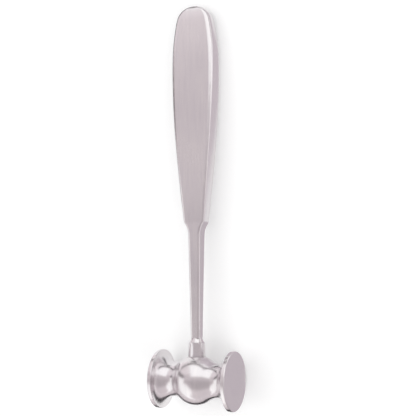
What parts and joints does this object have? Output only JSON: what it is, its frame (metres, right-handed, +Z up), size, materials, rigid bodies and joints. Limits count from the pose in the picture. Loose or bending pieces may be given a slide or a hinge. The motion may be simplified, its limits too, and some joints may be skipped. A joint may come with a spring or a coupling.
{
  "type": "surgical mallet",
  "caption": "All-metal surgical mallet: a turned spool head with two flat striking discs on a flat slab handle with a slender shank.",
  "frame": {"origin": "on the surface that the mallet lies on, below the middle of its bounding box", "axes": "+X along the head between its striking faces, +Y from the head towards the end of the grip, +Z up, out of the grip's upper broad face"},
  "size_m": [0.038, 0.1884, 0.027],
  "materials": {
    "head": "fine satin, turned",
    "handle": "fine satin, ground"
  },
  "bodies": {
    "root": {"head": "head", "handle": "handle"}
  },
  "joints": []
}
